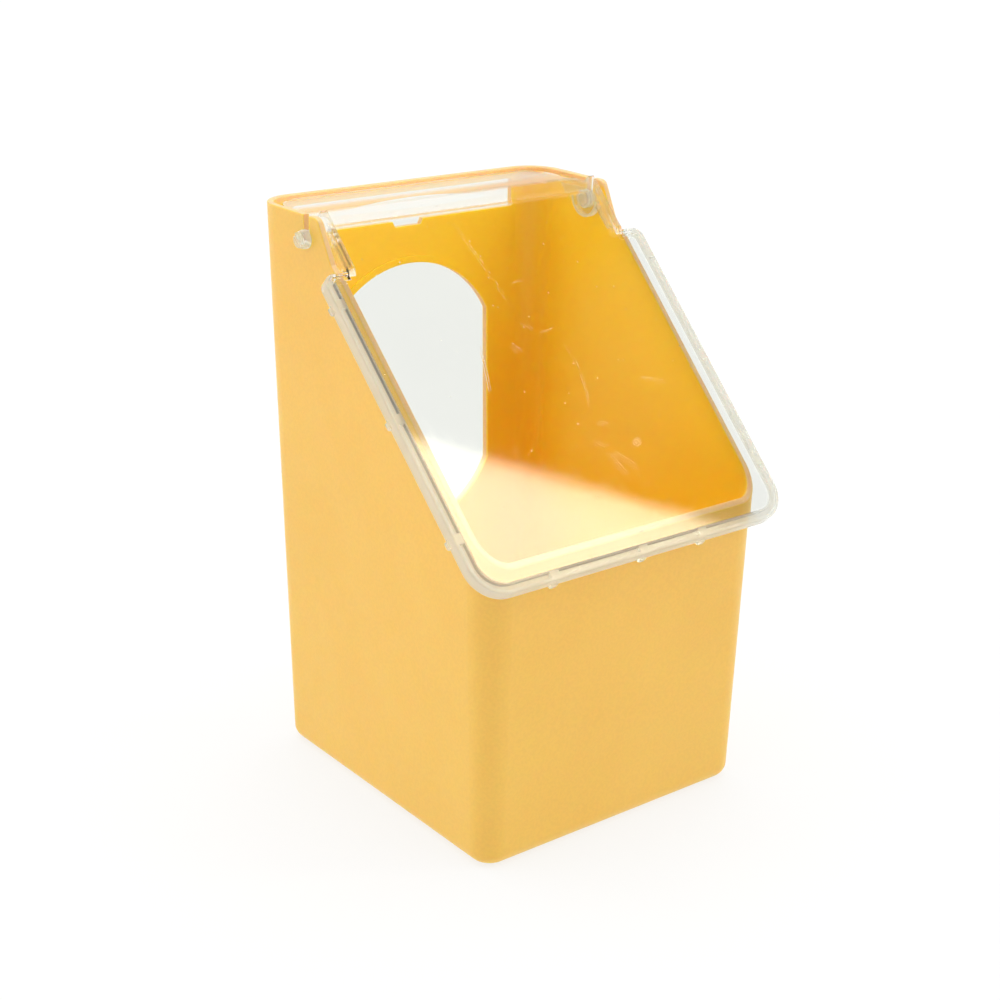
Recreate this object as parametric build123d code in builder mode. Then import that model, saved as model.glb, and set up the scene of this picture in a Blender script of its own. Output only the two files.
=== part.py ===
from build123d import *
from math import cos, radians, sin, sqrt, tan
import os

# Rabbit hopper feeder. The origin is the centre of the base, on the surface it stands on.
# +X is to the right, -Y is the front with the slanted lid, +Y the back wall that meets the cage.

# --- Hopper body, one moulding with drafted walls ---
BASE_W = 100.0            # outer width at the base
BASE_D = 108.0            # outer depth at the base
BODY_H = 178.0            # height of the side and back rims
FRONT_H = 94.0            # height of the front wall
DRAFT = 1.4               # outward lean of every wall, degrees
WALL = 2.1                # wall thickness
FLOOR = 2.2               # floor thickness
CORNER_R = 7.0            # vertical corners at the base, which grow with the draft
BASE_FILLET = 4.5         # outer edge round the base
FLOOR_FILLET = 3.0        # inner edge round the floor
SLANT_TOP_Y = 29.0        # where the slanted edge would reach the rim's height
RIM_ROUND = 0.5           # softened rim edges

# --- Hinge: a pin on each side of the lid, in a snap-in bearing in each side wall ---
PIVOT_Y = 28.5
PIVOT_Z = 171.1
PIN_R = 2.5
PIN_CLEARANCE = 0.06      # radial running clearance in the side wall
PIN_LENGTH_OUT = 57.4     # X of the pin's outer tip
PIN_BARB_R = 2.8
PIN_BARB_L = 1.0
PIN_END_PLAY = 0.25       # between the wall's outer face and the barb
PIN_TIP_R = 2.2
PIN_SLIT = 0.9            # split across the outer end
PIN_SLIT_DEPTH = 2.6
PIN_SLIT_ANGLE = 35.0     # turn of the slit from the horizontal
PIN_HEAD_R = 3.1
PIN_HEAD_T = 0.7
SNAP_SLOT_W = 3.2         # open slot from the rim to the bearing
FINGER_FRONT_Y = 22.9     # front of the springy finger beside the slot, at the rim
FINGER_ROUND = 2.6
FINGER_FOOT_Y = 16.4      # where the finger's front edge meets the slanted edge

# --- Back wall openings ---
HEAD_HOLE_R = 34.8        # top and bottom arcs
HEAD_HOLE_HALF_W = 31.0   # straight sides
HEAD_HOLE_TOP = 151.3
HEAD_HOLE_BOTTOM = 61.3
LIP_W = 2.2               # raised lip round the hole, on the inside
LIP_H = 0.5
SLOT_HALF_W = 42.0        # hanger slot near the rim
SLOT_BOTTOM = 165.0
SLOT_TOP = 173.0
SLOT_CORNER_R = 1.0
NOTCH_TOP_HALF = 5.9      # centring notch in the slot's lower edge
NOTCH_BOTTOM_HALF = 5.0
NOTCH_DEPTH = 1.8

# --- Lid, one clear moulding: flat top, narrow neck between the walls, wide slanted panel ---
LID_T = 1.85
LID_GAP = 0.15            # air between the panel and the body's slanted edge
FLAT_TOP = 177.0
FLAT_BACK_Y = 55.0
FLAT_HALF_W = 50.2
FLAT_CORNER_R = 9.5
BEND_R = 4.0
CHEEK_OUT = 51.2          # outer face of the cheeks that carry the pins
CHEEK_T = 1.9
CHEEK_R = 6.0             # round lower end of a cheek, about the pin
CHEEK_BACK_ANGLE = 50.4   # lean of a cheek's back edge, degrees from horizontal
NECK_SKIRT = 2.0          # how far the cheek's strip hangs below the slanted edge
NECK_END = 20.0           # distance down the slope where the neck's strips end
NECK_RIB_START = 1.5
NECK_RIB_W = 2.3
NECK_RIB_H = 1.2
PANEL_HALF_W = 59.6       # at its top, from where its sides follow the draft of the body's walls
PANEL_START = 21.5        # distances down the slope from the rim's height
PANEL_END = 126.4
PANEL_TOP_R = 3.5
PANEL_FRONT_R = 10.5
LID_EDGE_R = 0.5          # softened outer edges
SKIRT_T = 1.1
SKIRT_DROP = 2.0          # depth of the skirt below the slanted edge
WALL_PASS = 54.7          # half-width that clears the body's walls
GROOVE_W = 1.5            # shallow channel just inside the skirt
GROOVE_DEPTH = 1.15
GROOVE_EDGE_R = 0.3
BRIDGE_L = 3.4            # small bridges across the channel
BRIDGES_SIDE = (31.5, 69.5, 107.5)
BRIDGES_FRONT = (-32.5, 0.0, 23.0)
NUB_L = 2.6               # small nubs on the skirt's lower edge, in line with the bridges
NUB_PROUD = 0.7
NUB_H = 1.4

# --- Allowances ---
PAST = 20.0               # how far a cutting shape runs past what it cuts
NEAR = 0.1                # slack when an edge is picked by its place

os.makedirs("parts", exist_ok=True)

lean = tan(radians(DRAFT))
front_y = -(BASE_D / 2 + FRONT_H * lean)          # outer face of the front wall at its top
slant_run = SLANT_TOP_Y - front_y
slant_drop = BODY_H - FRONT_H
slant_length = sqrt(slant_run**2 + slant_drop**2)
down_y = -slant_run / slant_length                # unit vector down the slope
down_z = -slant_drop / slant_length


def on_slope(distance, height):
    """Y and Z of the point so far down the slope and so high above the slanted edge."""
    y = SLANT_TOP_Y + down_y * distance + down_z * height
    z = BODY_H + down_z * distance - down_y * height
    return y, z


# The slope's own plane: local X is +X, local Y runs up the slope, local Z is its outward normal.
slope = Plane(origin=(0, SLANT_TOP_Y, BODY_H), x_dir=(1, 0, 0), z_dir=(0, down_z, -down_y))

# The inner face of the back wall: local Y runs up the wall, local Z points into the hopper.
back_inner = Plane(
    origin=(0, BASE_D / 2 - WALL, 0),
    x_dir=(1, 0, 0),
    z_dir=(0, -cos(radians(DRAFT)), sin(radians(DRAFT))),
)


# ---------------------------------------------------------------- hopper body
with BuildPart() as hopper_body:
    with BuildSketch():
        RectangleRounded(BASE_W, BASE_D, CORNER_R)
    extrude(amount=BODY_H, taper=-DRAFT)
    fillet(hopper_body.faces().sort_by(Axis.Z)[0].edges(), BASE_FILLET)

    inner_grow = 2 * (FLOOR * lean - WALL)
    with BuildSketch(Plane.XY.offset(FLOOR)):
        RectangleRounded(BASE_W + inner_grow, BASE_D + inner_grow, CORNER_R - WALL)
    extrude(amount=BODY_H, taper=-DRAFT, mode=Mode.SUBTRACT)
    floor_face = hopper_body.faces().filter_by(Axis.Z).sort_by(Axis.Z)[1]
    fillet(floor_face.edges(), FLOOR_FILLET)

    # Everything ahead of the slanted edge is open, up to the finger beside each bearing.
    with BuildSketch(Plane.YZ) as mouth:
        with BuildLine():
            Polyline(
                on_slope(slant_length + PAST, 0),
                on_slope((SLANT_TOP_Y - FINGER_FOOT_Y) / -down_y, 0),
                (FINGER_FRONT_Y, BODY_H),
                (FINGER_FRONT_Y, BODY_H + PAST),
                (-BASE_D, BODY_H + PAST),
                close=True,
            )
        make_face()
    extrude(amount=BASE_W, both=True, mode=Mode.SUBTRACT)
    finger_tips = (
        hopper_body.edges()
        .filter_by(Axis.X)
        .filter_by_position(Axis.Z, BODY_H - NEAR, BODY_H + NEAR)
        .filter_by_position(Axis.Y, FINGER_FRONT_Y - NEAR, FINGER_FRONT_Y + NEAR)
    )
    fillet(finger_tips, FINGER_ROUND)

    # The whole rim is softened, apart from the short edges that cross the wall's thickness.
    rim_faces = (
        hopper_body.faces().filter_by(lambda face: face.center().Z > FRONT_H + WALL)
        .filter_by(lambda face: abs(face.normal_at().X) < sin(radians(DRAFT / 2)))
        .filter_by(lambda face: face.normal_at().Z > NEAR)
    )
    rim_edges = rim_faces.edges().filter_by(
        lambda edge: edge.length > 2 * WALL or abs(edge.tangent_at(0.5).X) < 1 - NEAR
    )
    fillet(rim_edges, RIM_ROUND)

    # Raised lip on the inside, then the head hole through lip and wall.
    with BuildSketch(back_inner.offset(-WALL / 2)) as lip:
        with Locations((0, HEAD_HOLE_TOP - HEAD_HOLE_R), (0, HEAD_HOLE_BOTTOM + HEAD_HOLE_R)):
            Circle(HEAD_HOLE_R + LIP_W)
        with Locations((0, (HEAD_HOLE_TOP + HEAD_HOLE_BOTTOM) / 2)):
            Rectangle(2 * (HEAD_HOLE_HALF_W + LIP_W), HEAD_HOLE_TOP, mode=Mode.INTERSECT)
    extrude(amount=WALL / 2 + LIP_H)
    with BuildSketch(back_inner) as head_hole:
        with Locations((0, HEAD_HOLE_TOP - HEAD_HOLE_R), (0, HEAD_HOLE_BOTTOM + HEAD_HOLE_R)):
            Circle(HEAD_HOLE_R)
        with Locations((0, (HEAD_HOLE_TOP + HEAD_HOLE_BOTTOM) / 2)):
            Rectangle(2 * HEAD_HOLE_HALF_W, HEAD_HOLE_TOP, mode=Mode.INTERSECT)
    extrude(amount=PAST, both=True, mode=Mode.SUBTRACT)

    # Hanger slot with its centring notch.
    with BuildSketch(back_inner) as hanger_slot:
        with Locations((0, (SLOT_TOP + SLOT_BOTTOM) / 2)):
            RectangleRounded(2 * SLOT_HALF_W, SLOT_TOP - SLOT_BOTTOM, SLOT_CORNER_R)
        Polygon(
            (-NOTCH_TOP_HALF, SLOT_BOTTOM + NEAR),
            (-NOTCH_BOTTOM_HALF, SLOT_BOTTOM - NOTCH_DEPTH),
            (NOTCH_BOTTOM_HALF, SLOT_BOTTOM - NOTCH_DEPTH),
            (NOTCH_TOP_HALF, SLOT_BOTTOM + NEAR),
            align=None,
        )
    extrude(amount=PAST, both=True, mode=Mode.SUBTRACT)

    # Snap-in bearings through both side walls.
    with BuildSketch(Plane.YZ) as bearing:
        with Locations((PIVOT_Y, PIVOT_Z)):
            Circle(PIN_R + PIN_CLEARANCE)
        with Locations((PIVOT_Y, PIVOT_Z + BODY_H / 2)):
            Rectangle(SNAP_SLOT_W, BODY_H)
    extrude(amount=BASE_W, both=True, mode=Mode.SUBTRACT)
hopper_body.part.label = "hopper_body"
export_step(hopper_body.part, "parts/hopper_body.step")


# ---------------------------------------------------------------- lid
cheek_in = CHEEK_OUT - CHEEK_T
panel_top = LID_GAP + LID_T                       # height of the panel's top face above the edge
across_band = 4 * (SKIRT_T + GROOVE_W)            # spans the skirt and the channel, both ways
pivot_down = (PIVOT_Y - SLANT_TOP_Y) * down_y + (PIVOT_Z - BODY_H) * down_z
web_lean = radians(CHEEK_BACK_ANGLE)
web_low_y = PIVOT_Y + CHEEK_R * sin(web_lean)             # where the web's back edge leaves the circle
web_low_z = PIVOT_Z - CHEEK_R * cos(web_lean)
web_top_y = web_low_y + (FLAT_TOP - web_low_z) / tan(web_lean)
barb_x = BASE_W / 2 + PIVOT_Z * lean + PIN_END_PLAY      # the barb sits just outside the wall
flat_meets_slope = SLANT_TOP_Y + (panel_top - (FLAT_TOP - BODY_H) * -down_y) / down_z
under_meets_slope = SLANT_TOP_Y + (LID_GAP - (FLAT_TOP - LID_T - BODY_H) * -down_y) / down_z


def panel_half(distance):
    """Half the panel's width, so far down the slope."""
    return PANEL_HALF_W + down_z * lean * (distance - PANEL_START)


with BuildPart() as lid:
    # Wide panel, with a skirt that hangs outside the body's walls.
    with BuildSketch(slope.offset(-SKIRT_DROP)) as panel:
        with BuildLine():
            Polyline(
                (panel_half(PANEL_START), -PANEL_START),
                (panel_half(PANEL_END), -PANEL_END),
                (-panel_half(PANEL_END), -PANEL_END),
                (-panel_half(PANEL_START), -PANEL_START),
                close=True,
            )
        make_face()
        fillet(panel.vertices().group_by(Axis.Y)[0], PANEL_FRONT_R)
        fillet(panel.vertices().group_by(Axis.Y)[-1], PANEL_TOP_R)
    extrude(amount=SKIRT_DROP + panel_top)
    across_panel = lid.faces().sort_by(Axis((0, 0, 0), slope.z_dir))
    fillet(across_panel[-1].edges() + across_panel[0].edges(), LID_EDGE_R)
    with BuildSketch(slope.offset(-SKIRT_DROP)) as under:
        add(panel.sketch_local)
        offset(amount=-SKIRT_T)
        with Locations((0, -PANEL_START)):
            Rectangle(2 * WALL_PASS, across_band)
    extrude(amount=SKIRT_DROP + LID_GAP, mode=Mode.SUBTRACT)

    # Shallow channel just inside the skirt, with its small bridges and softened edges.
    outer_edges = lid.edges()
    with BuildSketch(slope.offset(panel_top - GROOVE_DEPTH)) as groove:
        add(panel.sketch_local)
        offset(amount=-SKIRT_T)
        with BuildSketch(mode=Mode.PRIVATE) as island:
            add(panel.sketch_local)
            offset(amount=-SKIRT_T - GROOVE_W)
        add(island.sketch, mode=Mode.SUBTRACT)
        with Locations((0, -PANEL_START)):
            Rectangle(2 * CHEEK_OUT, across_band, mode=Mode.SUBTRACT)
        for along in BRIDGES_SIDE:
            with Locations((-panel_half(along), -along), (panel_half(along), -along)):
                Rectangle(across_band, BRIDGE_L, mode=Mode.SUBTRACT)
        for across in BRIDGES_FRONT:
            with Locations((across, -PANEL_END)):
                Rectangle(BRIDGE_L, across_band, mode=Mode.SUBTRACT)
    extrude(amount=PAST, mode=Mode.SUBTRACT)
    groove_rims = (
        (lid.edges() - outer_edges)
        .filter_by(lambda edge: slope.to_local_coords(edge.center()).Z > panel_top - NEAR)
    )
    fillet(groove_rims, GROOVE_EDGE_R)

    # Nubs on the skirt's lower edge.
    with BuildSketch(slope.offset(-SKIRT_DROP)) as nubs:
        for along in BRIDGES_SIDE:
            with Locations((-panel_half(along), -along), (panel_half(along), -along)):
                SlotOverall(NUB_L, 2 * NUB_PROUD, rotation=90)
        for across in BRIDGES_FRONT:
            with Locations((across, -PANEL_END)):
                SlotOverall(NUB_L, 2 * NUB_PROUD)
    extrude(amount=NUB_H)

    # Bent strip: the flat top and the neck that runs down to the wide panel.
    with BuildSketch(Plane.YZ) as strip:
        with BuildLine():
            Polyline(
                (FLAT_BACK_Y, FLAT_TOP),
                (flat_meets_slope, FLAT_TOP),
                on_slope(PANEL_START + LID_T, panel_top),
                on_slope(PANEL_START + LID_T, LID_GAP),
                (under_meets_slope, FLAT_TOP - LID_T),
                (FLAT_BACK_Y, FLAT_TOP - LID_T),
                close=True,
            )
        make_face()
        fillet(strip.vertices().sort_by_distance((flat_meets_slope, FLAT_TOP, 0))[0], BEND_R)
        fillet(
            strip.vertices().sort_by_distance((under_meets_slope, FLAT_TOP - LID_T, 0))[0],
            BEND_R - LID_T,
        )
    extrude(amount=FLAT_HALF_W, both=True)
    fillet(lid.edges().filter_by(Axis.Z).group_by(Axis.Y)[-1], FLAT_CORNER_R)

    # Cheeks: a web down to the pin on each side, with a strip and a low rib along the neck.
    for side in (1, -1):
        with BuildSketch(Plane.YZ.offset(side * (CHEEK_OUT - CHEEK_T / 2))) as cheek:
            with BuildLine():
                Polyline(
                    (flat_meets_slope, FLAT_TOP),
                    (web_top_y, FLAT_TOP),
                    (web_low_y, web_low_z),
                    (PIVOT_Y, PIVOT_Z),
                    on_slope(pivot_down, -NECK_SKIRT),
                    on_slope(NECK_END, -NECK_SKIRT),
                    on_slope(NECK_END, panel_top),
                    close=True,
                )
            make_face()
            fillet(cheek.vertices().sort_by_distance((flat_meets_slope, FLAT_TOP, 0))[0], BEND_R)
            strip_end = (*on_slope(NECK_END, -NECK_SKIRT), 0)
            fillet(cheek.vertices().sort_by_distance(strip_end)[0], NECK_SKIRT)
            with Locations((PIVOT_Y, PIVOT_Z)):
                Circle(CHEEK_R)
        extrude(amount=CHEEK_T / 2, both=True)
        with BuildSketch(Plane.YZ.offset(side * (CHEEK_OUT - NECK_RIB_W / 2))) as neck_edge:
            with BuildLine():
                Polyline(
                    on_slope(NECK_RIB_START, LID_GAP),
                    on_slope(NECK_RIB_START, panel_top + NECK_RIB_H),
                    on_slope(PANEL_START, panel_top + NECK_RIB_H),
                    on_slope(PANEL_START + LID_T, panel_top),
                    on_slope(PANEL_START + LID_T, LID_GAP),
                    close=True,
                )
            make_face()
        extrude(amount=NECK_RIB_W / 2, both=True)
    with BuildSketch(Plane.YZ) as pin_holes:
        with Locations((PIVOT_Y, PIVOT_Z)):
            Circle(PIN_R)
    extrude(amount=BASE_W, both=True, mode=Mode.SUBTRACT)
lid.part.label = "lid"
export_step(lid.part, "parts/lid.step")


# ---------------------------------------------------------------- hinge pins
with BuildPart() as hinge_pin_right:
    with BuildSketch(Plane.XY) as pin_profile:
        with BuildLine():
            Polyline(
                (cheek_in - PIN_HEAD_T, 0),
                (cheek_in - PIN_HEAD_T, PIN_HEAD_R - PIN_HEAD_T),
                (cheek_in, PIN_HEAD_R),
                (cheek_in, PIN_R),
                (barb_x, PIN_R),
                (barb_x, PIN_BARB_R),
                (barb_x + PIN_BARB_L, PIN_BARB_R),
                (PIN_LENGTH_OUT, PIN_TIP_R),
                (PIN_LENGTH_OUT, 0),
                close=True,
            )
        make_face()
    revolve(axis=Axis.X)
    with BuildSketch(Plane.YZ.offset(PIN_LENGTH_OUT - PIN_SLIT_DEPTH)):
        Rectangle(4 * PIN_R, PIN_SLIT, rotation=PIN_SLIT_ANGLE)
    extrude(amount=2 * PIN_SLIT_DEPTH, mode=Mode.SUBTRACT)

# The pin is turned about the X axis, then set on the hinge line.
right_pin = Pos(0, PIVOT_Y, PIVOT_Z) * hinge_pin_right.part
left_pin = right_pin.mirror(Plane.YZ)
for pin, name in ((right_pin, "hinge_pin_right"), (left_pin, "hinge_pin_left")):
    pin.label = name
    export_step(pin, f"parts/{name}.step")
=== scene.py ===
import math

import bpy
from mathutils import Matrix, Vector


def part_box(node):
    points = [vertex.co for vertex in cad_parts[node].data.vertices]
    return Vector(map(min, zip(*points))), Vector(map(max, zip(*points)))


# Rabbit hopper feeder: a satin yellow moulding with a clear, scratched, hinged lid.

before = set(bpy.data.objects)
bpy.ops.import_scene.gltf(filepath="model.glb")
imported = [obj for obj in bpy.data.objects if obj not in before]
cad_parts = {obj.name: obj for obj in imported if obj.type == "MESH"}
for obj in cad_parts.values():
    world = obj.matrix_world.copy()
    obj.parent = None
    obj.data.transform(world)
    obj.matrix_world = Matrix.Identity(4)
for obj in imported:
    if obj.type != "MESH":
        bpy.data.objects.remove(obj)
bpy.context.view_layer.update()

MM = 0.001
hopper_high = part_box("hopper_body")[1]

# ---------------------------------------------------------------- the object's own measures
# Hopper
DRAFT = math.tan(math.radians(1.4))   # outward lean of its walls
WALL = 2.1 * MM
BODY_CORNER = 7.0 * MM                # radius of its upright corners at the base
BASE_ROUND = 4.5 * MM                 # rounding round its base
SLOPE_TOP = Vector((0, 29.0 * MM, hopper_high.z))   # where the slanted edge meets the rim's height
SLOPE_DOWN = Vector((0, -85.3, -84.0)).normalized()

# Lid: distances down the slope are from SLOPE_TOP
PANEL_HALF = 57.8 * MM                # half the slanted panel's width at its front
PANEL_END = 126.4 * MM
PANEL_CORNER = 10.5 * MM              # radius of its front corners
PANEL_RIM = 3.4 * MM                  # width of the skirt and channel round it
NECK_END = 20.0 * MM                  # where the neck's cheeks and ribs end
CHEEK_IN = 48.0 * MM                  # just inside the cheeks
BEND_END = 5.4 * MM                   # where the bend gives way to the slanted panel
FLAT_TOP = 177.0 * MM                 # height of the flat top
FLAT_UNDER = FLAT_TOP - 1.9 * MM      # just below its underside
FLAT_FRONT = 31.0 * MM                # where the bend has ended
LID_FADE = 7.0 * MM                   # over which the bend's look gives way to the flat top's,
UNDER_LAG = 4.5                       # and how much farther back it does, per depth below the top

# Hinge
PIVOT = Vector((0, 28.5 * MM, 171.1 * MM))
CHEEK_R = 6.0 * MM
PIN_HEAD_R = 3.1 * MM


# ---------------------------------------------------------------- camera
CAMERA_AZIMUTH = -37.97       # 0 looks along +Y
CAMERA_ELEVATION = 20.5
CAMERA_ROLL = 0.93
CAMERA_DISTANCE = 567.1 * MM
CAMERA_AIM = Vector((0, 0, 87.9 * MM))
CAMERA_SLIDE = -3.5 * MM      # sideways from the aim
CAMERA_LENS = 66.07
CAMERA_SENSOR = 36.0
CAMERA_CLIP = (0.01, 20)


def direction(azimuth, elevation):
    """Unit vector from the object towards that azimuth and elevation, in degrees."""
    a, e = math.radians(azimuth), math.radians(elevation)
    return Vector((math.sin(a) * math.cos(e), -math.cos(a) * math.cos(e), math.sin(e)))


def make_camera():
    back = direction(CAMERA_AZIMUTH, CAMERA_ELEVATION)
    right = Vector((0, 0, 1)).cross(back).normalized()
    up = back.cross(right)
    turn = Matrix.Rotation(math.radians(CAMERA_ROLL), 3, back)
    right, up = turn @ right, turn @ up
    data = bpy.data.cameras.new("camera")
    data.lens = CAMERA_LENS
    data.sensor_width = CAMERA_SENSOR
    data.clip_start, data.clip_end = CAMERA_CLIP
    camera = bpy.data.objects.new("camera", data)
    bpy.context.scene.collection.objects.link(camera)
    camera.matrix_world = Matrix.Translation(
        CAMERA_AIM + right * CAMERA_SLIDE + back * CAMERA_DISTANCE
    ) @ Matrix((right, up, back)).transposed().to_4x4()
    bpy.context.scene.camera = camera


# ---------------------------------------------------------------- node helpers
class Nodes:
    """A material's node tree, with short calls for the nodes used here."""

    def __init__(self, name):
        self.material = bpy.data.materials.new(name)
        self.material.use_nodes = True
        self.tree = self.material.node_tree
        self.tree.nodes.clear()

    def link(self, source, target):
        self.tree.links.new(source, target)

    def put(self, socket, value):
        """Links a socket, or sets a plain value."""
        if isinstance(value, bpy.types.NodeSocket):
            self.link(value, socket)
        else:
            socket.default_value = value

    def node(self, kind, settings=None, **inputs):
        made = self.tree.nodes.new(kind)
        for key, value in (settings or {}).items():
            setattr(made, key, value)
        for key, value in inputs.items():
            self.put(made.inputs[key.replace("_", " ")], value)
        return made

    def math(self, operation, *values):
        made = self.tree.nodes.new("ShaderNodeMath")
        made.operation = operation
        for socket, value in zip(made.inputs, values):
            self.put(socket, value)
        return made.outputs[0]

    def vector(self, operation, *values):
        made = self.tree.nodes.new("ShaderNodeVectorMath")
        made.operation = operation
        for socket, value in zip(made.inputs, values):
            self.put(socket, value)
        return made.outputs["Value" if operation in ("LENGTH", "DOT_PRODUCT") else "Vector"]

    def both(self, first, second):
        """The product of two masks."""
        return self.math("MULTIPLY", first, second)

    def either(self, first, second):
        """The larger of two masks."""
        return self.math("MAXIMUM", first, second)

    def parts(self, vector):
        """A vector's X, Y and Z."""
        return self.node("ShaderNodeSeparateXYZ", Vector=vector).outputs

    def place(self):
        """The point on the surface, in metres, in the frame at rest."""
        return self.node("ShaderNodeTexCoord").outputs["Object"]

    def noise(self, vector, scale, detail=2.0, roughness=0.5):
        made = self.node("ShaderNodeTexNoise", Vector=vector, Scale=scale, Detail=detail)
        made.inputs["Roughness"].default_value = roughness
        return made.outputs["Fac"]

    def ramp(self, value, low, high, out_low=0.0, out_high=1.0):
        """Value from low..high spread smoothly over out_low..out_high."""
        made = self.node("ShaderNodeMapRange", {"interpolation_type": "SMOOTHSTEP"})
        for socket, item in zip(made.inputs, (value, low, high, out_low, out_high)):
            self.put(socket, item)
        return made.outputs[0]

    def mix(self, share, first, second):
        made = self.node("ShaderNodeMix", {"data_type": "RGBA"})
        self.put(made.inputs["Factor"], share)
        self.put(made.inputs["A"], first)
        self.put(made.inputs["B"], second)
        return made.outputs["Result"]

    def bump(self, height, distance, strength=1.0, normal=None):
        made = self.node("ShaderNodeBump", Height=height, Distance=distance, Strength=strength)
        if normal is not None:
            self.link(normal, made.inputs["Normal"])
        return made.outputs["Normal"]

    def blend(self, share, first, second):
        """A shader that is share of the second and the rest of the first."""
        made = self.node("ShaderNodeMixShader", Fac=share)
        self.link(first, made.inputs[1])
        self.link(second, made.inputs[2])
        return made.outputs[0]

    def finish(self, surface):
        out = self.tree.nodes.new("ShaderNodeOutputMaterial")
        self.link(surface, out.inputs["Surface"])
        return self.material


# ---------------------------------------------------------------- yellow plastic
OUTER_YELLOW = ((0.915, 0.572, 0.036, 1), (0.935, 0.592, 0.044, 1))   # each varies between two
# Inside, the same plastic is painted deeper and brighter: painted light that stands in for the light
# bouncing round within the hopper
INNER_YELLOW_PAINTED_BOUNCE = ((0.96, 0.63, 0.026, 1), (0.97, 0.645, 0.032, 1))
# Rims and the edges of openings are painted paler than the walls: a painted highlight
RIM_YELLOW_PAINTED_HIGHLIGHT = (0.84, 0.56, 0.22, 1)
OUTER_ROUGHNESS = (0.34, 0.43)
INNER_ROUGHNESS = (0.36, 0.44)
INNER_GLOSS = 0.3
YELLOW_IOR = 1.54
GLOW_SHARE = 0.7                      # light that spreads under the skin, and how far, by colour
GLOW_RADIUS = (1.0, 0.5, 0.08)
GLOW_REACH = 3.0 * MM

# Depths below the outer skin, over which a face turns inner and over which a rim starts and ends
INNER_DEPTHS = (0.4 * WALL, 0.6 * WALL)
RIM_STARTS = (0.04 * WALL, 0.15 * WALL)
RIM_ENDS = (0.8 * WALL, 0.95 * WALL)

# Noise scales, in cells to the metre
CLOUDS = 28
MOTTLE = 1100
OUTER_PATCHES = 160
INNER_PATCHES = 90
YELLOW_WAVES = 55
GRAIN = 5200


def hopper_faces(n, place):
    """Masks for the hopper's inner faces, and for its rims, the edges of its openings and its inner
    faces above the lid, which are painted paler as a highlight.
    """
    height = n.parts(place)["Z"]
    grow = n.math("MULTIPLY", height, DRAFT)
    inset = hopper_high.z * DRAFT + BODY_CORNER
    half = Vector((hopper_high.x - inset, hopper_high.y - inset, 1.0))
    over = n.vector("SUBTRACT", n.vector("ABSOLUTE", place), half)
    beyond = n.vector("LENGTH", n.vector("MAXIMUM", over, (0, 0, 0)))
    depth = n.math("SUBTRACT", n.math("ADD", grow, BODY_CORNER), beyond)
    inside = n.both(n.ramp(depth, *INNER_DEPTHS), n.ramp(height, *INNER_DEPTHS))
    rim = n.both(n.ramp(depth, *RIM_STARTS), n.ramp(depth, *RIM_ENDS, 1.0, 0.0))
    rim = n.both(rim, n.ramp(height, BASE_ROUND, BASE_ROUND * 1.5))
    # Inner faces above the lid are painted the rims' paler colour too: a painted highlight where strong
    # light falls on them
    above_lid = n.ramp(height, FLAT_TOP - 2 * MM, FLAT_TOP)
    return inside, n.either(rim, n.both(inside, above_lid))


def hopper_plastic():
    """Yellow polypropylene: satin and finely grained outside; inside, painted deeper and brighter for
    the light that bounces within; at its rims, painted paler as a highlight.
    """
    n = Nodes("hopper_plastic_satin")
    place = n.place()
    inside, rim = hopper_faces(n, place)
    cloud = n.ramp(n.noise(place, CLOUDS, 3), 0.3, 0.7)
    # Inner faces take the deeper, brighter yellow: painted bounce light
    yellow = n.mix(inside, n.mix(cloud, *OUTER_YELLOW), n.mix(cloud, *INNER_YELLOW_PAINTED_BOUNCE))
    mottle = n.ramp(n.noise(place, MOTTLE, 2), 0.35, 0.65, 0.965, 1.0)
    colour = n.node("ShaderNodeVectorMath", {"operation": "SCALE"}, Scale=mottle)
    # Rims take the paler colour: a painted highlight
    n.link(n.mix(rim, yellow, RIM_YELLOW_PAINTED_HIGHLIGHT), colour.inputs[0])
    satin = n.ramp(n.noise(place, OUTER_PATCHES, 3), 0.3, 0.7, *OUTER_ROUGHNESS)
    smooth = n.ramp(n.noise(place, INNER_PATCHES, 3), 0.3, 0.7, *INNER_ROUGHNESS)
    outside = n.math("SUBTRACT", 1.0, inside)
    shader = n.node("ShaderNodeBsdfPrincipled", Base_Color=colour.outputs[0], IOR=YELLOW_IOR)
    n.link(n.math("ADD", n.both(satin, outside), n.both(smooth, inside)), shader.inputs["Roughness"])
    waves = n.bump(n.noise(place, YELLOW_WAVES, 1), 0.4 * MM, 0.35)
    grain = n.bump(n.noise(place, GRAIN, 1.5, 0.6), 0.02 * MM, 0.5, waves)
    n.link(grain, shader.inputs["Normal"])
    gloss = n.either(n.ramp(inside, 0.0, 1.0, 1.0, INNER_GLOSS), rim)
    n.link(gloss, shader.inputs["Specular IOR Level"])
    shader.inputs["Subsurface Weight"].default_value = GLOW_SHARE
    shader.inputs["Subsurface Radius"].default_value = GLOW_RADIUS
    shader.inputs["Subsurface Scale"].default_value = GLOW_REACH
    return n.finish(shader.outputs[0])


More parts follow.
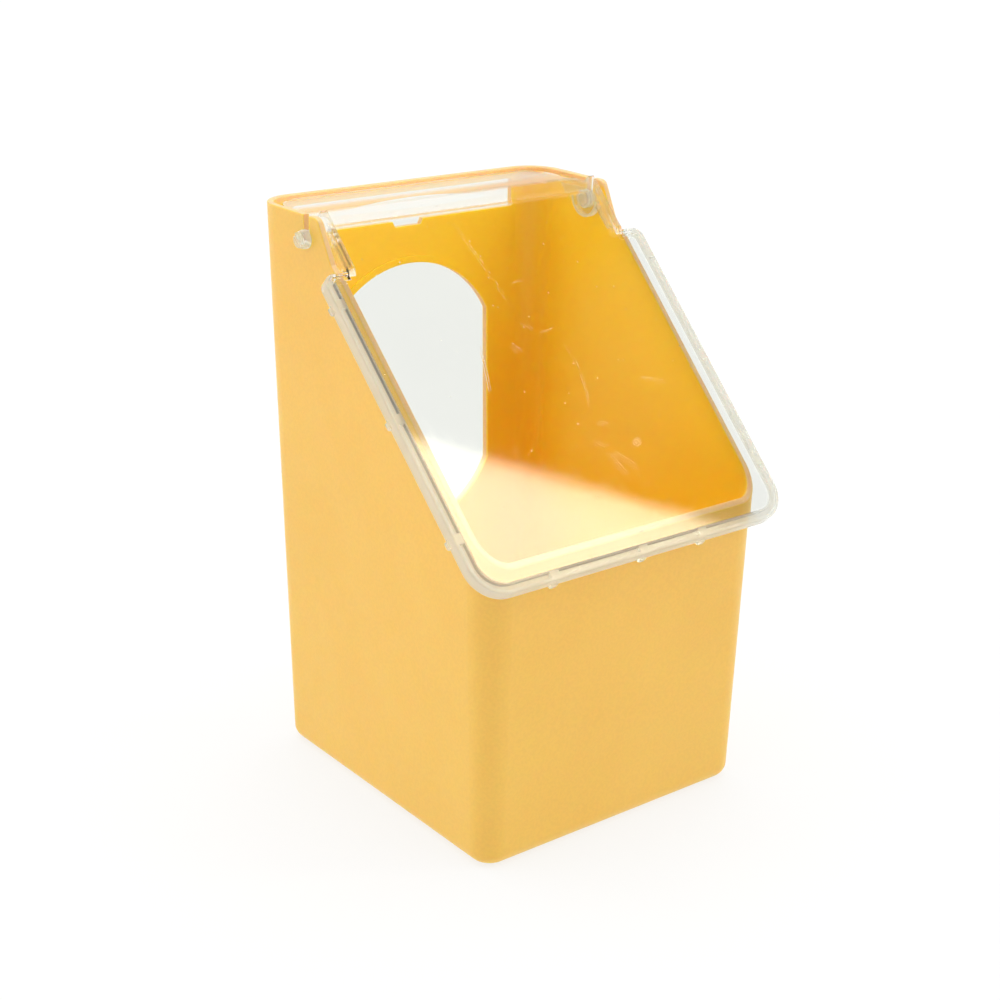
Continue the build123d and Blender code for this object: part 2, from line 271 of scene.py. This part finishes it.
# ---------------------------------------------------------------- clear plastic
# Scratches on the slanted panel: middle across and down it, heading in degrees, half length, radius.
SCRATCHES = (                         # lengths in mm
    (-5.0, 26.0, 80, 19.0, 500),
    (-0.5, 48.5, 50, 2.6, 5),
    (5.5, 51.3, 175, 3.2, 9),
    (9.3, 68.0, 98, 14.0, 45),
    (9.0, 84.5, 40, 2.8, 4),
    (6.5, 98.0, 70, 6.0, 60),
    (10.0, 97.0, 50, 5.0, 25),
    (34.0, 74.0, 20, 6.0, 60),
    (-22.0, 60.0, 105, 9.0, 150),
)
SCRATCH_W = 0.11 * MM
SCRATCH_SHARE = 0.27                  # how pale a mark is
GATE_MARK = Vector((16.7, 92.5, 0)) * MM      # across and down the slanted panel
GATE_MARK_R = 1.1 * MM
OUTLINE_PAINTED_GLINT = 0.5                   # how pale the hinge's outlines are painted: a painted glint
FROST = (0.31, 0.10, 0.03)            # how pale the skirt, the cheeks and the bend are
STRAIGHT = (0.52, 0.65, 0.92)         # how much passes straight through each of them
LID_PASS = 1.25                       # more light than reaches each face passes to what is under the lid, added light that brightens the hopper's inside,
BORDER_PASS = 0.86                    # less of it near the panel's outline,
BORDER = (9.0 * MM, 14.0 * MM)        # with a change between these distances from it
CLEAR = (0.92, 0.935, 0.89, 1)
CLEAR_EDGE = (0.965, 0.975, 0.955, 1)
CLEAR_FROST_AND_GLINT = (0.93, 0.96, 0.93, 1)
CLEAR_ROUGHNESS = (0.01, 0.04)
CLEAR_IOR = 1.57
SPECK_RADII = (0.03, 0.08)            # of a cell, over which a speck fades out
SPECK_SHARE = (0.60, 0.62)            # cells below this have no speck

# Noise scales, in cells to the metre
HAZE = 300
CLEAR_WAVES = 40
SCRATCH_BREAKS = 420
SPECK_CELLS = 230


def on_panel(n, place):
    """Place on the slanted panel: across it, and down it from the rim's height."""
    down = n.vector("DOT_PRODUCT", n.vector("SUBTRACT", place, SLOPE_TOP), SLOPE_DOWN)
    return n.parts(place)["X"], down


def from_outline(n, place):
    """How far a place on the slanted panel lies inside its outline, with its round front corners."""
    across, down = on_panel(n, place)
    to_front = n.math("SUBTRACT", PANEL_END, down)
    half = n.math("ADD", n.math("MULTIPLY", to_front, -SLOPE_DOWN.z * DRAFT), PANEL_HALF)
    to_side = n.math("SUBTRACT", half, n.math("ABSOLUTE", across))
    past = [n.math("SUBTRACT", PANEL_CORNER, distance) for distance in (to_front, to_side)]
    in_corner = n.node("ShaderNodeCombineXYZ", X=past[0], Y=past[1]).outputs[0]
    from_centre = n.vector("LENGTH", n.vector("MAXIMUM", in_corner, (0, 0, 0)))
    farther = n.math("SUBTRACT", n.math("MINIMUM", to_front, to_side), PANEL_CORNER)
    return n.math("ADD", n.math("SUBTRACT", PANEL_CORNER, from_centre), n.either(farther, 0.0))


def moulded_edges(n, place):
    """Masks for the skirt and channel, for the cheeks and ribs, and for the bend."""
    across, down = on_panel(n, place)
    parts = n.parts(place)
    lag = n.math("MULTIPLY", n.math("SUBTRACT", parts["Z"], FLAT_TOP), UNDER_LAG)
    behind_bend = n.ramp(n.math("ADD", parts["Y"], lag), FLAT_FRONT, FLAT_FRONT + LID_FADE)
    on_flat = n.both(behind_bend, n.ramp(parts["Z"], FLAT_UNDER - 0.3 * MM, FLAT_UNDER))
    off_flat = n.math("SUBTRACT", 1.0, on_flat)
    skirt = n.ramp(from_outline(n, place), PANEL_RIM - 0.3 * MM, PANEL_RIM, 1.0, 0.0)
    beside = n.ramp(n.math("ABSOLUTE", across), CHEEK_IN, CHEEK_IN + 0.6 * MM)
    neck = n.both(n.ramp(down, NECK_END, NECK_END + 2 * MM, 1.0, 0.0), beside)
    bend = n.ramp(down, BEND_END, BEND_END + 1.2 * MM, 1.0, 0.0)
    return skirt, n.both(neck, off_flat), n.both(bend, off_flat)


def ring_inside(n, distance, radius, width, soft):
    """1 on a ring that ends at that radius, and 0 inside and outside it."""
    starts = n.ramp(distance, radius - width, radius - width + soft)
    return n.both(starts, n.ramp(distance, radius, radius + 0.2 * MM, 1.0, 0.0))


def painted_outline_glints(n, place):
    """1 along the round end of each cheek and round each pin's head: a painted glint where the light
    gathers.
    """
    flat = n.vector("MULTIPLY", n.vector("SUBTRACT", place, PIVOT), (0, 1, 1))
    from_pivot = n.vector("LENGTH", flat)
    parts = n.parts(place)
    low = n.ramp(parts["Z"], PIVOT.z - 1 * MM, PIVOT.z + 1 * MM, 1.0, 0.0)
    cheek = n.both(ring_inside(n, from_pivot, CHEEK_R, 1.0 * MM, 0.4 * MM), low)
    head = ring_inside(n, from_pivot, PIN_HEAD_R, 0.9 * MM, 0.5 * MM)
    at_hinge = n.ramp(n.math("ABSOLUTE", parts["X"]), CHEEK_IN - 0.5 * MM, CHEEK_IN)
    return n.both(n.either(cheek, head), at_hinge)


def scratch(n, point, across, down, heading, half_length, radius):
    """One hairline arc on the slanted panel, 1 on the line and 0 off it, fading out at its ends."""
    middle = Vector((across, down, 0)) * MM
    along = Vector((math.cos(math.radians(heading)), math.sin(math.radians(heading)), 0))
    centre = middle + Vector((-along.y, along.x, 0)) * radius * MM
    from_centre = n.vector("LENGTH", n.vector("SUBTRACT", point, centre))
    off_line = n.math("ABSOLUTE", n.math("SUBTRACT", from_centre, radius * MM))
    run = n.math("ABSOLUTE", n.vector("DOT_PRODUCT", n.vector("SUBTRACT", point, middle), along))
    fade = n.ramp(run, half_length * 0.4 * MM, half_length * MM, 1.0, 0.0)
    return n.both(n.ramp(off_line, 0.0, SCRATCH_W, 1.0, 0.0), fade)


def lid_marks(n, place):
    """Hairline scratches, specks and the small ring where the lid was injected."""
    across, down = on_panel(n, place)
    point = n.node("ShaderNodeCombineXYZ", X=across, Y=down).outputs[0]
    lines = 0.0
    for measures in SCRATCHES:
        lines = n.either(scratch(n, point, *measures), lines)
    broken = n.ramp(n.noise(place, SCRATCH_BREAKS, 2), 0.38, 0.6, 0.15, 1.0)
    cells = n.node("ShaderNodeTexVoronoi", Vector=place, Scale=SPECK_CELLS).outputs
    dots = n.ramp(cells["Distance"], *SPECK_RADII, 1.0, 0.0)
    specks = n.both(dots, n.ramp(cells["Color"], *SPECK_SHARE))
    from_gate = n.vector("LENGTH", n.vector("SUBTRACT", point, GATE_MARK))
    off_ring = n.math("ABSOLUTE", n.math("SUBTRACT", from_gate, GATE_MARK_R))
    ring = n.ramp(off_ring, 0.05 * MM, 0.25 * MM, 0.5, 0.0)
    gate = n.either(ring, n.ramp(from_gate, 0.05 * MM, 0.35 * MM, 0.6, 0.0))
    return n.either(n.both(lines, broken), n.either(specks, gate))


def clear_plastic():
    """Clear polystyrene, a little frosted at its moulded edges, with hairline scratches, specks and
    painted glints round the hinge.
    """
    n = Nodes("clear_plastic_scratched")
    place = n.place()
    marks = lid_marks(n, place)
    waves = n.bump(n.noise(place, CLEAR_WAVES, 1), 0.25 * MM, 0.05)
    glass = n.node("ShaderNodeBsdfPrincipled", Base_Color=CLEAR, IOR=CLEAR_IOR, Transmission_Weight=1.0)
    n.link(n.ramp(n.noise(place, HAZE, 3), 0.35, 0.75, *CLEAR_ROUGHNESS), glass.inputs["Roughness"])
    n.link(n.bump(marks, 0.02 * MM, 0.5, waves), glass.inputs["Normal"])
    straight = n.node("ShaderNodeBsdfTransparent", Color=CLEAR_EDGE).outputs[0]
    lit = n.node("ShaderNodeBsdfDiffuse", Color=CLEAR_FROST_AND_GLINT).outputs[0]
    shining = n.node("ShaderNodeBsdfTranslucent", Color=CLEAR_FROST_AND_GLINT).outputs[0]
    openness = 0.0
    # Scratches, frost and the painted glint on the hinge's outlines all turn the clear plastic pale
    paleness = n.either(n.both(marks, SCRATCH_SHARE), n.both(painted_outline_glints(n, place), OUTLINE_PAINTED_GLINT))
    for mask, frost, share in zip(moulded_edges(n, place), FROST, STRAIGHT):
        openness = n.either(n.both(mask, share), openness)
        paleness = n.either(n.both(mask, frost), paleness)
    clear = n.blend(openness, glass.outputs[0], straight)
    seen = n.blend(paleness, clear, n.blend(0.5, lit, shining))

    # To the light on its way to the hopper, the lid is a see-through sheet that lets more light through
    # than reaches it, adding light inside; less near its outline.
    strength = n.ramp(from_outline(n, place), *BORDER, BORDER_PASS, LID_PASS)
    passing = n.node("ShaderNodeBsdfTransparent", Color=strength).outputs[0]
    path = n.node("ShaderNodeLightPath").outputs
    lighting = n.either(path["Is Shadow Ray"], path["Is Diffuse Ray"])
    return n.finish(n.blend(lighting, seen, passing))


# ---------------------------------------------------------------- floor
FLOOR_HALF = 3.0                      # large enough to fill the view
FLOOR_GREYS = ((0.18, 0.18, 0.18, 1), (0.2, 0.2, 0.2, 1))
FLOOR_GLOW = 0.77
FLOOR_PATCHES = 9                     # noise cells to the metre


def floor_paper():
    """A white light table: pale diffuser that glows softly, so that it has almost no shadows."""
    n = Nodes("floor_paper")
    place = n.place()
    colour = n.mix(n.noise(place, FLOOR_PATCHES, 2), *FLOOR_GREYS)
    shader = n.node("ShaderNodeBsdfPrincipled", Base_Color=colour, Roughness=0.9)
    shader.inputs["Specular IOR Level"].default_value = 0.1
    shader.inputs["Emission Color"].default_value = (1, 1, 1, 1)
    shader.inputs["Emission Strength"].default_value = FLOOR_GLOW
    return n.finish(shader.outputs[0])


def paint(obj, material):
    obj.data.materials.clear()
    obj.data.materials.append(material)


def make_floor():
    """A plain flat sheet."""
    mesh = bpy.data.meshes.new("floor")
    signs = ((-1, -1), (1, -1), (1, 1), (-1, 1))
    corners = [(x * FLOOR_HALF, y * FLOOR_HALF, 0) for x, y in signs]
    mesh.from_pydata(corners, [], [(0, 1, 2, 3)])
    floor = bpy.data.objects.new("floor", mesh)
    bpy.context.scene.collection.objects.link(floor)
    paint(floor, floor_paper())


# ---------------------------------------------------------------- light
HORIZON_LEVEL = 0.88
OVERHEAD_LEVEL = 2.0
OVERHEAD_RISE = (35, 62)      # elevations between which the light rises to the overhead level

# Dimmer or brighter lobes: azimuth, elevation, inner and outer half-angle, share of the light there
WORLD_LOBES = (
    (-38, 15, 10, 60, 0.15),
    (144, 11, 12, 50, 1.07),
    (-142, 8, 12, 50, 1.4),
)

# A dark flag and a softbox that the lid mirrors: azimuth and elevation of each corner in turn
FLAG_CORNERS = ((79, 60), (76, 37), (61, 36), (57, 60))
FLAG_SHARE = 0.02
FLAG_EDGE = 0.03
SOFTBOX_CORNERS = ((58.8, 60), (63.7, 34), (50, 34), (49.5, 60))
SOFTBOX_LEVEL = 4.6
SOFTBOX_COLOUR = (1, 1, 0.77, 1)
SOFTBOX_EDGE = 0.012


class WorldNodes:
    """The studio's light as a function of direction."""

    def __init__(self):
        world = bpy.data.worlds.new("studio")
        bpy.context.scene.world = world
        world.use_nodes = True
        self.tree = world.node_tree
        self.tree.nodes.clear()
        self.towards = self.tree.nodes.new("ShaderNodeTexCoord").outputs["Generated"]

    def math(self, operation, *values):
        made = self.tree.nodes.new("ShaderNodeMath")
        made.operation = operation
        for socket, value in zip(made.inputs, values):
            if isinstance(value, bpy.types.NodeSocket):
                self.tree.links.new(value, socket)
            else:
                socket.default_value = value
        return made.outputs[0]

    def step(self, axis, low, high, out_low=0.0, out_high=1.0):
        """How far along axis the direction lies, from low..high smoothly over out_low..out_high."""
        along = self.tree.nodes.new("ShaderNodeVectorMath")
        along.operation = "DOT_PRODUCT"
        self.tree.links.new(self.towards, along.inputs[0])
        along.inputs[1].default_value = axis
        spread = self.tree.nodes.new("ShaderNodeMapRange")
        spread.interpolation_type = "SMOOTHSTEP"
        self.tree.links.new(along.outputs["Value"], spread.inputs[0])
        for socket, value in zip(list(spread.inputs)[1:5], (low, high, out_low, out_high)):
            socket.default_value = value
        return spread.outputs[0]

    def patch(self, corners, edge):
        """1 inside the outline through those directions and 0 outside it, with a soft edge within it."""
        inside = 1.0
        for this, following in zip(corners, corners[1:] + corners[:1]):
            outwards = direction(*following).cross(direction(*this)).normalized()
            inside = self.math("MULTIPLY", inside, self.step(outwards, 0.0, edge))
        return inside

    def light(self, level, colour=(1, 1, 1, 1)):
        background = self.tree.nodes.new("ShaderNodeBackground")
        background.inputs["Color"].default_value = colour
        self.tree.links.new(level, background.inputs["Strength"])
        return background.outputs[0]

    def finish(self, first, second):
        both = self.tree.nodes.new("ShaderNodeAddShader")
        self.tree.links.new(first, both.inputs[0])
        self.tree.links.new(second, both.inputs[1])
        out = self.tree.nodes.new("ShaderNodeOutputWorld")
        self.tree.links.new(both.outputs[0], out.inputs["Surface"])


def make_world():
    """A bright studio with light from above, dimmer round the camera, a dark flag and a softbox."""
    n = WorldNodes()
    rise = (math.sin(math.radians(angle)) for angle in OVERHEAD_RISE)
    level = n.step((0, 0, 1), *rise, HORIZON_LEVEL, OVERHEAD_LEVEL)
    for azimuth, elevation, inner, outer, share in WORLD_LOBES:
        inner, outer = math.radians(inner), math.radians(outer)
        lobe = n.step(direction(azimuth, elevation), math.cos(outer), math.cos(inner), 1.0, share)
        level = n.math("MULTIPLY", level, lobe)
    flag = n.math("MULTIPLY", n.patch(FLAG_CORNERS, FLAG_EDGE), FLAG_SHARE - 1)
    level = n.math("MULTIPLY", level, n.math("ADD", flag, 1.0))
    softbox = n.math("MULTIPLY", n.patch(SOFTBOX_CORNERS, SOFTBOX_EDGE), SOFTBOX_LEVEL)
    n.finish(n.light(level), n.light(softbox, SOFTBOX_COLOUR))


make_camera()
bpy.context.scene.view_settings.view_transform = "Standard"
make_world()
make_floor()

yellow = hopper_plastic()
clear = clear_plastic()
paint(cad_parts["hopper_body"], yellow)
for clear_node in ("lid", "hinge_pin_left", "hinge_pin_right"):
    paint(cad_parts[clear_node], clear)
